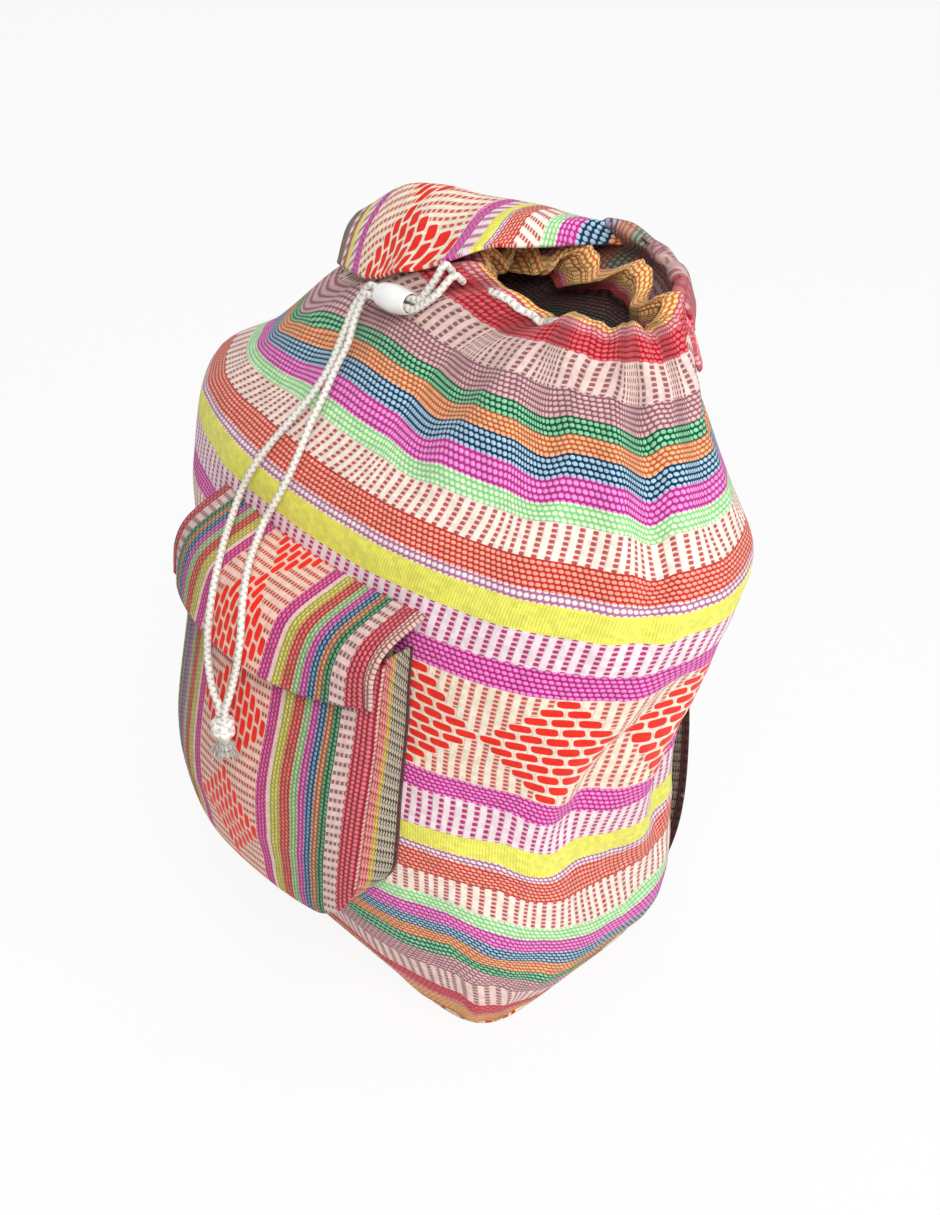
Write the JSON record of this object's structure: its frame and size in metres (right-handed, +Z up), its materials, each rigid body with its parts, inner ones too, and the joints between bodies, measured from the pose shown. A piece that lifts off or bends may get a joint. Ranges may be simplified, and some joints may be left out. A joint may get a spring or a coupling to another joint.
{
  "type": "drawstring backpack",
  "caption": "Stuffed woven-cloth drawstring backpack standing on its base, with a gathered mouth, top flap, flapped front pocket, shoulder straps and a bead on the cord tails.",
  "frame": {"origin": "middle of the resting face of the base", "axes": "+Z up, along the longest extent; -Y towards the front pocket; +X towards the side that the mouth leans to"},
  "size_m": [0.3237, 0.2494, 0.4033],
  "materials": {
    "striped_cloth": "matt, hand-woven ribs in cream with stripes of magenta, coral, yellow, greens, blues and mauve",
    "pocket_cloth": "matt, the same striped cloth with its stripes upright",
    "flap_cloth": "matt, the same striped cloth with its stripes along the flap",
    "webbing": "matt, twill-woven band in black, white, yellow and dark red",
    "cotton_cord": "matt, braided cotton",
    "bead": "glossy white"
  },
  "bodies": {
    "bag": {"body_wall": "striped_cloth", "bottom_panel": "striped_cloth", "drawstring_in_hem": "cotton_cord", "pocket_front": "pocket_cloth", "pocket_gusset": "webbing", "pocket_flap": "pocket_cloth", "top_flap": "flap_cloth", "shoulder_strap_left": "webbing", "shoulder_strap_right": "webbing", "drawstring_tail_left": "cotton_cord", "drawstring_tail_right": "cotton_cord", "cord_knot": "cotton_cord"},
    "bead": {"cord_bead": "bead"}
  },
  "joints": [
    {"name": "bead_slide", "type": "slide", "parent": "bag", "child": "bead", "axis": [-0.9929, 0, -0.1191], "range_m": [0, 0.006]}
  ]
}
